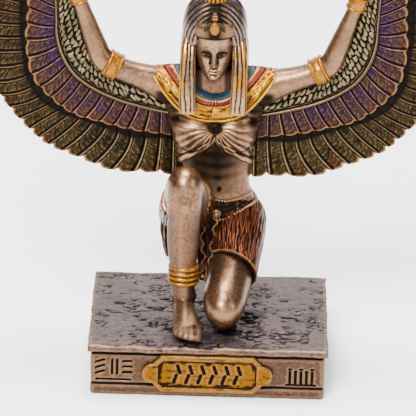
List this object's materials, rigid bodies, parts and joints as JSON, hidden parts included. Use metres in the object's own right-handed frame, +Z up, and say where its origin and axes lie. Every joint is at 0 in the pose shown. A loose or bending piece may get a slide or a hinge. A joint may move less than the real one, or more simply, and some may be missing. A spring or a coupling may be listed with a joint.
{
  "type": "winged kneeling goddess statuette",
  "caption": "Kneeling goddess with wings spread along her raised arms, horned sun-disc crown and pleated skirt, cast on a rectangular plinth with a plaque.",
  "frame": {"origin": "centre of the plinth's underside", "axes": "+Z up, the figure faces -Y, +X to the viewer's right when seen from the front"},
  "size_m": [0.0978, 0.0384, 0.0998],
  "materials": {
    "plinth_bronze": "antiqued dark bronze, pitted",
    "bronze": "antiqued cold-cast bronze with painted wings, collar and skirt"
  },
  "bodies": {
    "root": {"plinth": "plinth_bronze", "figure": "bronze"}
  },
  "joints": []
}
